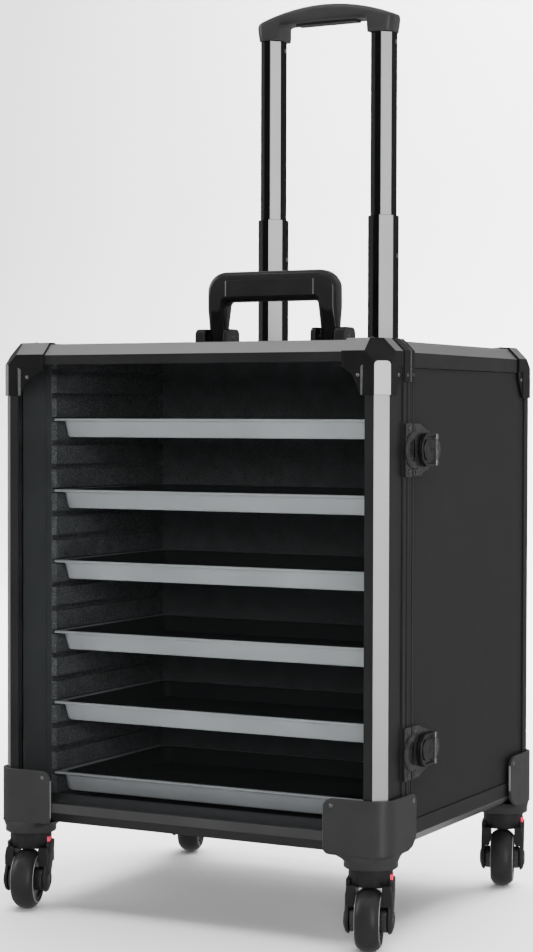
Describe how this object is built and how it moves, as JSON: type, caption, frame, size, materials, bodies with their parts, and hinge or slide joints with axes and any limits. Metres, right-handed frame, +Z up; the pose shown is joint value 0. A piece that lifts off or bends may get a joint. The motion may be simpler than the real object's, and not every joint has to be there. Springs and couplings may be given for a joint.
{
  "type": "miniature carry case",
  "caption": "Rolling display case with a windowed door, sliding trays, side latches, top handle, telescopic trolley and swivel casters.",
  "frame": {"origin": "on the floor below the centre of the whole object as stored, with the trolley raised", "axes": "+Z up, +X to the right of someone facing the windowed door (latch side), +Y from the door towards the rear"},
  "size_m": [0.423, 0.381, 0.8985],
  "materials": {
    "panel": "fine-grained black laminate, satin",
    "frame": "black anodised extrusion, satin",
    "edge_silver": "bright satin anodised chamfer strip",
    "cap": "dark satin pressed metal",
    "foam": "dense dark grey EVA foam, speckled",
    "tray": "grey powder coat, fine texture",
    "window": "clear acrylic, polished",
    "gloss": "polished black",
    "tube": "satin anodised tube",
    "latch": "dark nickel plated, brushed",
    "plastic": "moulded black nylon, fine grain",
    "tyre": "black rubber tread on a black core",
    "steel": "zinc plated fasteners",
    "red_mark": "red moulded marker"
  },
  "bodies": {
    "case": {"body_bottom_panel": "panel", "body_front_ring": "frame", "body_left_panel": "panel", "body_rear_panel": "panel", "body_rear_ring": "frame", "body_right_panel": "panel", "body_top_panel": "panel", "cap_rear_left": "cap", "cap_rear_right": "cap", "caster_rear_left_bracket": "plastic", "caster_rear_right_bracket": "plastic", "handle_bracket_left": "plastic", "handle_bracket_right": "plastic", "hinge_body_leaf": "latch", "hinge_pin": "steel", "latch_lower_base": "latch", "latch_upper_base": "latch", "liner_back": "foam", "liner_left": "foam", "liner_right": "foam", "rail_bottom_left": "frame", "rail_bottom_right": "frame", "rail_top_left": "frame", "rail_top_right": "frame", "trolley_channel_left": "plastic", "trolley_channel_right": "plastic"},
    "door": {"door_frame": "frame", "door_window": "window", "cap_front_left": "cap", "cap_front_right": "cap", "hinge_door_leaf": "latch", "latch_upper_keeper": "latch", "latch_lower_keeper": "latch", "caster_front_left_bracket": "plastic", "caster_front_right_bracket": "plastic"},
    "handle": {"carry_handle": "gloss"},
    "trolley_lower": {"trolley_lower_tube_left": "tube", "trolley_lower_tube_right": "tube", "trolley_bridge": "plastic"},
    "trolley_upper": {"trolley_upper_tube_left": "tube", "trolley_upper_tube_right": "tube", "trolley_grip": "plastic"},
    "trolley_release": {"trolley_release": "plastic"},
    "latch_upper": {"latch_upper_wing": "latch"},
    "latch_lower": {"latch_lower_wing": "latch"},
    "tray_1": {"tray_1": "tray"},
    "tray_2": {"tray_2": "tray"},
    "tray_3": {"tray_3": "tray"},
    "tray_4": {"tray_4": "tray"},
    "tray_5": {"tray_5": "tray"},
    "tray_6": {"tray_6": "tray"},
    "caster_front_right_swivel": {"caster_front_right_fork": "plastic"},
    "caster_front_right_wheel": {"caster_front_right_wheel": "tyre"},
    "caster_front_left_swivel": {"caster_front_left_fork": "plastic"},
    "caster_front_left_wheel": {"caster_front_left_wheel": "tyre"},
    "caster_rear_right_swivel": {"caster_rear_right_fork": "plastic"},
    "caster_rear_right_wheel": {"caster_rear_right_wheel": "tyre"},
    "caster_rear_left_swivel": {"caster_rear_left_fork": "plastic"},
    "caster_rear_left_wheel": {"caster_rear_left_wheel": "tyre"}
  },
  "joints": [
    {"name": "door_hinge", "type": "hinge", "parent": "case", "child": "door", "pos_m": [-0.20895, -0.11798, 0.314], "axis": [0, 0, -1], "range_deg": [0, 110]},
    {"name": "tray_1_slide", "type": "slide", "parent": "case", "child": "tray_1", "axis": [0, -1, 0], "range_m": [0, 0.046]},
    {"name": "tray_2_slide", "type": "slide", "parent": "case", "child": "tray_2", "axis": [0, -1, 0], "range_m": [0, 0.046]},
    {"name": "tray_3_slide", "type": "slide", "parent": "case", "child": "tray_3", "axis": [0, -1, 0], "range_m": [0, 0.046]},
    {"name": "tray_4_slide", "type": "slide", "parent": "case", "child": "tray_4", "axis": [0, -1, 0], "range_m": [0, 0.046]},
    {"name": "tray_5_slide", "type": "slide", "parent": "case", "child": "tray_5", "axis": [0, -1, 0], "range_m": [0, 0.046]},
    {"name": "tray_6_slide", "type": "slide", "parent": "case", "child": "tray_6", "axis": [0, -1, 0], "range_m": [0, 0.046]},
    {"name": "handle_pivot", "type": "hinge", "parent": "case", "child": "handle", "pos_m": [-0.00155, 0.00802, 0.553], "axis": [1, 0, 0], "range_deg": [-75, 75]},
    {"name": "trolley_lower_slide", "type": "slide", "parent": "case", "child": "trolley_lower", "axis": [0, 0, 1], "range_m": [-0.134, 0]},
    {"name": "trolley_upper_slide", "type": "slide", "parent": "trolley_lower", "child": "trolley_upper", "axis": [0, 0, 1], "range_m": [-0.185, 0]},
    {"name": "release_press", "type": "slide", "parent": "trolley_upper", "child": "trolley_release", "axis": [0, 0, 1], "range_m": [0, 0.0042], "stiffness_N_per_m": 400, "springref_m": -0.002},
    {"name": "latch_upper_turn", "type": "hinge", "parent": "case", "child": "latch_upper", "pos_m": [0.20545, -0.09098, 0.4445], "axis": [1, 0, 0], "range_deg": [0, 90]},
    {"name": "latch_lower_turn", "type": "hinge", "parent": "case", "child": "latch_lower", "pos_m": [0.20545, -0.09098, 0.172], "axis": [1, 0, 0], "range_deg": [0, 90]},
    {"name": "caster_front_right_turn", "type": "hinge", "parent": "door", "child": "caster_front_right_swivel", "pos_m": [0.18045, -0.14998, 0.0731], "axis": [0, 0, 1], "continuous": true},
    {"name": "caster_front_right_roll", "type": "hinge", "parent": "caster_front_right_swivel", "child": "caster_front_right_wheel", "pos_m": [0.18468, -0.16227, 0.0285], "axis": [0.9455, 0.3256, 0], "continuous": true},
    {"name": "caster_front_left_turn", "type": "hinge", "parent": "door", "child": "caster_front_left_swivel", "pos_m": [-0.18355, -0.14998, 0.0731], "axis": [0, 0, 1], "continuous": true},
    {"name": "caster_front_left_roll", "type": "hinge", "parent": "caster_front_left_swivel", "child": "caster_front_left_wheel", "pos_m": [-0.17932, -0.16227, 0.0285], "axis": [0.9455, 0.3256, 0], "continuous": true},
    {"name": "caster_rear_right_turn", "type": "hinge", "parent": "case", "child": "caster_rear_right_swivel", "pos_m": [0.18045, 0.16602, 0.0731], "axis": [0, 0, 1], "continuous": true},
    {"name": "caster_rear_right_roll", "type": "hinge", "parent": "caster_rear_right_swivel", "child": "caster_rear_right_wheel", "pos_m": [0.18468, 0.15373, 0.0285], "axis": [0.9455, 0.3256, 0], "continuous": true},
    {"name": "caster_rear_left_turn", "type": "hinge", "parent": "case", "child": "caster_rear_left_swivel", "pos_m": [-0.18355, 0.16602, 0.0731], "axis": [0, 0, 1], "continuous": true},
    {"name": "caster_rear_left_roll", "type": "hinge", "parent": "caster_rear_left_swivel", "child": "caster_rear_left_wheel", "pos_m": [-0.17932, 0.15373, 0.0285], "axis": [0.9455, 0.3256, 0], "continuous": true}
  ]
}
